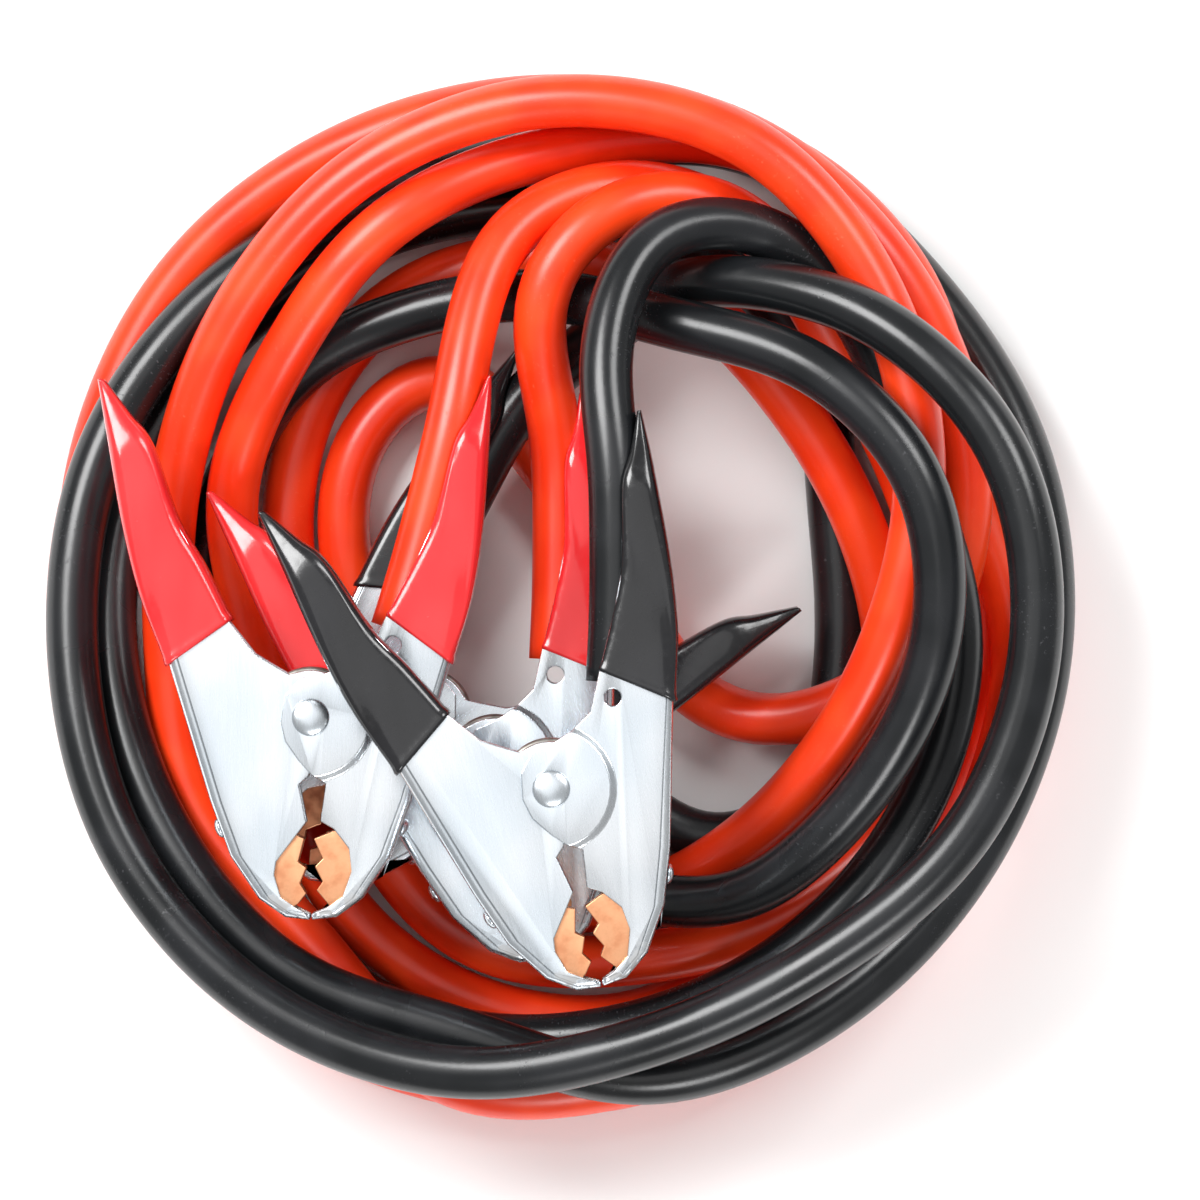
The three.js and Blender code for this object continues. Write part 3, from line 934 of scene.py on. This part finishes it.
@dataclass
class SpringClamp:
    """One clamp: two pressed steel halves with grips, pivot rivet, spring and copper jaws.

    Sizes are in metres and degrees. The four grip lines and the jaw rivet's shank are in millimetres.
    """

    place: ClampPlace
    grip: Material
    ear_out: float = 0.0106
    steel_out: float = 0.0093
    sleeve_wall: float = 0.0009
    sleeve_steps: int = 96
    sleeve_sides: int = 56
    sleeve_reach: float = 137.0
    spine_round: float = 0.0022
    edge_round: float = 0.00035
    rivet_head_radius: float = 0.0056
    rivet_head_height: float = 0.0014
    rivet_radius: float = 0.0037
    rivet_seat: float = 0.0002
    jaw_rivet_lean: float = 20.0
    jaw_rivet_place: Point = (0.0271, -0.0332)
    jaw_rivet_head: Point = (0.003, 0.0016)
    jaw_rivet_shank: tuple[Point, ...] = (
        (0, -2.4), (2.2, -2.4), (2.6, -2.0), (2.6, -1.2), (1.5, -1.2), (1.5, 0.2),
    )
    coil_radius: float = 0.014
    coil_start: float = 210.0
    coil_end: float = 315.0 + 3 * 360.0
    spring_wire: float = 0.0022
    spring_play: float = 0.0006
    lever_leg: float = 0.028
    cable_leg: float = 0.024
    leg_gap: float = 0.002
    channel: float = 0.0166
    lever_outer: tuple[Point, ...] = ((-43.5, 15), (-50.8, 34.4), (-56.6, 57.4), (-61.3, 84.4), (-64, 101))
    lever_inner: tuple[Point, ...] = (
        (-23.3, 29.3), (-31.5, 45.9), (-39.5, 59.8), (-47.5, 82), (-54, 90.6), (-61.8, 101),
    )
    cable_outer: tuple[Point, ...] = ((42.5, 15.5), (48, 34.4), (51.5, 57.4), (53.5, 84.4), (54, 102))
    cable_inner: tuple[Point, ...] = ((21.5, 31), (29.5, 45.9), (36, 59.8), (42, 82), (47, 90.6), (52.5, 102))
    pieces: list[str] = field(default_factory=list)

    @property
    def name(self) -> str:
        """The clamp's name, such as red_clamp_1."""
        return self.place.name

    def dress(self, piece: Piece, node_name: str, slot: Material, body: str, looks: Looks) -> None:
        """Gives a piece its finish, its body and the node that it stands for.

        Args:
            piece: the new piece.
            node_name: the node, without the clamp's name.
            slot: the record's material slot.
            body: the body that it rides on.
            looks: the finished materials.
        """
        keep_own(piece, self.place)
        piece.data.materials.clear()
        piece.data.materials.append(looks[slot])
        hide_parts(f"{self.name}_{node_name}")
        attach(piece, body)
        self.pieces.append(piece.name)

    def body(self, side: str) -> str:
        """The body that a half rides on: the lever turns, the cable half stays with the leads."""
        return f"{self.name}_lever" if side == "lever" else "leads"

    def rounded_copy(self, frame: Frame, node_name: str, piece_name: str, spine: bool) -> Piece:
        """A merged copy of a CAD node, its flat faces joined and its edges rounded by Bevel.

        Args:
            frame: the loaded frame.
            node_name: the node, without the clamp's name.
            piece_name: the new piece's name.
            spine: round the folded spine edges widely.

        Returns:
            The new piece.
        """
        source = frame["nodes"][f"{self.name}_{node_name}"]
        mesh = source.data.copy()
        mesh.name = f"{self.name}_{piece_name}"
        mesh.transform(source.matrix_world)
        work = bmesh.new()
        work.from_mesh(mesh)
        bmesh.ops.remove_doubles(work, verts=work.verts, dist=SAME_CORNER)
        bmesh.ops.dissolve_limit(
            work,
            angle_limit=math.radians(FLAT_ANGLE),
            use_dissolve_boundaries=False,
            verts=work.verts,
            edges=work.edges,
        )
        bmesh.ops.recalc_face_normals(work, faces=work.faces)
        weights = work.edges.layers.float.new("bevel_weight_edge")
        flat = self.place.matrix()[:, 2]
        pivot = np.array(self.place.pivot)
        for edge in work.edges:
            if len(edge.link_faces) != 2 or edge.calc_face_angle(0.0) < math.radians(EDGE_ANGLE):
                continue
            edge[weights] = self.edge_round / self.spine_round
            height = abs((np.array((edge.verts[0].co + edge.verts[1].co) / 2) - pivot) @ flat)
            walls = [f for f in edge.link_faces if abs(np.array(f.normal) @ flat) < 0.3]
            tall = [f for f in walls if self.wall_height(f, flat) > self.steel_out]
            if spine and tall and abs(height - self.steel_out) < 4e-4:
                edge[weights] = 1.0
        work.to_mesh(mesh)
        work.free()
        mesh.polygons.foreach_set("use_smooth", np.ones(len(mesh.polygons), dtype=bool))
        piece = bpy.data.objects.new(mesh.name, mesh)
        bpy.context.scene.collection.objects.link(piece)
        bevel = piece.modifiers.new("rounded edges", "BEVEL")
        bevel.limit_method = "WEIGHT"
        bevel.width = self.spine_round
        bevel.segments = 4
        bevel.use_clamp_overlap = False
        bevel.harden_normals = True
        return piece

    @staticmethod
    def wall_height(face: Any, flat: np.ndarray) -> float:
        """How far a face reaches along the clamp's thickness."""
        reach = np.array([tuple(v.co) for v in face.verts]) @ flat
        return float(reach.max() - reach.min())

    def halves(self, frame: Frame, looks: Looks) -> None:
        """The two pressed steel halves.

        Args:
            frame: the loaded frame.
            looks: the finished materials.
        """
        for side in ("cable", "lever"):
            piece = self.rounded_copy(frame, f"{side}_half", f"{side}_plate", True)
            self.dress(piece, f"{side}_half", Material.ZINC, self.body(side), looks)

    def jaws(self, frame: Frame, looks: Looks) -> None:
        """The toothed copper inserts and their rivets.

        Args:
            frame: the loaded frame.
            looks: the finished materials.
        """
        for side in ("cable", "lever"):
            piece = self.rounded_copy(frame, f"{side}_jaw", f"{side}_tooth_strip", False)
            self.dress(piece, f"{side}_jaw", Material.COPPER, self.body(side), looks)
            rivet = self.jaw_rivet(side)
            self.dress(rivet, f"{side}_jaw_rivet", Material.ZINC, self.body(side), looks)

    def jaw_rivet(self, side: str) -> Piece:
        """The small domed rivet through the spine, turned round its leaning axis.

        Args:
            side: "lever" or "cable".

        Returns:
            The rivet, not dressed yet.
        """
        sign = 1.0 if side == "lever" else -1.0
        lean = math.radians(self.jaw_rivet_lean)
        axis = self.place.matrix() @ np.array([-sign * math.cos(lean), -math.sin(lean), 0.0])
        across, along = self.jaw_rivet_place
        centre = self.place.to_world(np.array([[-sign * across, along, 0.0]]))[0]
        radius, height = self.jaw_rivet_head
        shank = np.array(self.jaw_rivet_shank) / 1000
        profile = np.vstack([shank, dome(radius, height, self.rivet_seat, 8)])
        return revolved(f"{self.name}_{side}_strip_rivet", profile, tuple(centre), tuple(axis), 28)

    def pivot_rivet(self, looks: Looks) -> None:
        """The pivot rivet: a shank with a domed head on each side.

        Args:
            looks: the finished materials.
        """
        seat = self.ear_out + self.rivet_seat
        head = dome(self.rivet_head_radius, self.rivet_head_height, seat, 12)
        bottom = (head * (1, -1))[::-1]
        shank = np.array([[self.rivet_radius, -seat], [self.rivet_radius, seat]])
        axis = self.place.matrix() @ np.array([0.0, 0.0, 1.0])
        profile = np.vstack([bottom, shank, head])
        piece = revolved(f"{self.name}_pivot_head", profile, self.place.pivot, tuple(axis), 40)
        self.dress(piece, "pivot_rivet", Material.ZINC, "leads", looks)

    def spring(self, looks: Looks) -> None:
        """The torsion spring: a leg, just over three turns of a rising circle, and a leg.

        Args:
            looks: the finished materials.
        """
        first, last = math.radians(self.coil_start), math.radians(self.coil_end)
        height = self.channel - self.spring_wire - self.spring_play
        angle = np.linspace(first, last, 220)
        circle = self.coil_radius * np.column_stack([np.cos(angle), np.sin(angle)])
        coil = np.column_stack([circle, np.linspace(-height / 2, height / 2, len(angle))])
        out = np.array([[math.sin(first), -math.cos(first), 0.0]])
        out = np.linspace(self.lever_leg, self.leg_gap, 14)[:, None] * out
        back = np.array([[-math.sin(last), math.cos(last), 0.0]])
        back = np.linspace(self.leg_gap, self.cable_leg, 12)[:, None] * back
        line = np.vstack([coil[0] + out, coil, coil[-1] + back])
        piece = tube(f"{self.name}_spring_coil", self.place.to_world(line), self.spring_wire / 2, 14)
        self.dress(piece, "torsion_spring", Material.SPRING, "leads", looks)

    def sleeve(self, side: str, looks: Looks) -> None:
        """A grip sleeve: at each step along the handle, a rounded box from the inner to the outer line.

        The section is the superellipse x = w |cos t|^(2/n), z = h |sin t|^(2/n). Its roundness grows and
        its height falls towards the tip. A lip, soft ripples and one crease swell or narrow the section.
        The cable half's sleeve is open along its inner side.

        Args:
            side: "lever" or "cable".
            looks: the finished materials.
        """
        closed = side == "lever"
        lines = (self.lever_outer, self.lever_inner) if closed else (self.cable_outer, self.cable_inner)
        steps, around = self.sleeve_steps, self.sleeve_sides
        outer, inner = (line_through(line, steps) for line in lines)
        s = np.linspace(0, 1, steps)[:, None]
        reach = np.pi if closed else np.radians(self.sleeve_reach)
        t = np.linspace(-reach, reach, around, endpoint=not closed)[None, :]
        fall = np.clip((s - 0.7) / 0.3, 0, 1)
        height = self.ear_out * (1 - 0.55 * fall * fall * (3 - 2 * fall))
        power = 2 / (7.5 - 4.5 * s)
        x = np.sign(np.cos(t)) * np.abs(np.cos(t)) ** power
        z = np.sign(np.sin(t)) * np.abs(np.sin(t)) ** power
        pucker = 0.5 + 0.5 * np.sin(8 * s + 1.6 * np.sin(t + 3 * s))
        crease = np.exp(-((np.cos(t - 0.9 - 1.4 * s) - 1) / 0.03) ** 2)
        crease = crease * np.sin(np.pi * np.clip(s / 0.8, 0, 1))
        lip = 0.03 * np.exp(-((s - 0.012) / 0.014) ** 2)
        ripple = 1 + lip - 0.03 * pucker * np.clip(1.15 - s, 0, 1) - 0.035 * crease
        middle = (outer + inner)[:, None, :] / 2
        half = (outer - inner)[:, None, :] / 2
        points = middle + (x * ripple)[:, :, None] * half
        points[:, :, 2] += height * z * ripple
        world = self.place.to_world(points.reshape(-1, 3))
        faces = grid_faces(steps, around, closed)
        piece = new_piece(f"{self.name}_{side}_grip", world, faces)
        outward(piece)
        self.face_away(piece)
        wall = piece.modifiers.new("wall", "SOLIDIFY")
        wall.thickness = self.sleeve_wall
        wall.offset = -1.0
        wall.use_even_offset = False
        self.dress(piece, f"{side}_sleeve", self.grip, self.body(side), looks)

    def face_away(self, piece: Piece) -> None:
        """Turns an open shell's faces away from its own middle, if they face inwards.

        Args:
            piece: the open shell.
        """
        mesh = piece.data
        count = len(mesh.polygons)
        normals, centres = np.zeros(count * 3), np.zeros(count * 3)
        mesh.polygons.foreach_get("normal", normals)
        mesh.polygons.foreach_get("center", centres)
        flat = self.place.matrix()[:, 2]
        heights = (centres.reshape(-1, 3) - np.array(self.place.pivot)) @ flat
        if np.sum(heights * (normals.reshape(-1, 3) @ flat)) < 0:
            mesh.flip_normals()

    def build(self, frame: Frame, looks: Looks) -> None:
        """Builds and dresses the whole clamp.

        Args:
            frame: the loaded frame.
            looks: the finished materials.
        """
        self.halves(frame, looks)
        self.jaws(frame, looks)
        self.pivot_rivet(looks)
        self.spring(looks)
        for side in ("cable", "lever"):
            self.sleeve(side, looks)
        log.info("%s: %s", self.name, ", ".join(self.pieces))


def clamp_places(frame: Frame) -> dict[str, ClampPlace]:
    """The clamps' places, their pivots taken from the record's joints.

    Args:
        frame: the loaded frame.

    Returns:
        Each clamp's place by its name.
    """
    pivots = {joint["name"]: joint["pos_m"] for joint in frame["joints"]}
    return {
        name: ClampPlace(name, tuple(pivots[f"{name}_squeeze"]), turn, flipped)
        for name, turn, flipped in (
            ("red_clamp_1", 0.0, False),
            ("red_clamp_2", -14.5, False),
            ("black_clamp_1", -14.5, False),
            ("black_clamp_2", 42.0, True),
        )
    }


def main() -> None:
    """Builds the scene in order: camera, cables, clamps, studio."""
    logging.basicConfig(level=logging.INFO, format="%(message)s")
    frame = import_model()
    studio = Studio()
    studio.camera()
    places = clamp_places(frame)
    shift = np.array(places["black_clamp_1"].pivot) - np.array(BLACK_CLAMP_1_PIVOT)
    looks = finishes()
    for cable in (
        CoiledCable("black_cable", BLACK_ROUTE, BLACK_CABLE_LENGTH, Material.BLACK_CABLE),
        CoiledCable("red_cable", RED_ROUTE, RED_CABLE_LENGTH, Material.RED_CABLE),
    ):
        cable.build(places, shift, looks)
    for place in places.values():
        grip = Material.RED_GRIP if place.name.startswith("red") else Material.BLACK_GRIP
        SpringClamp(place, grip).build(frame, looks)
    studio.floor()
    studio.light()


if __name__ == "__main__":
    main()
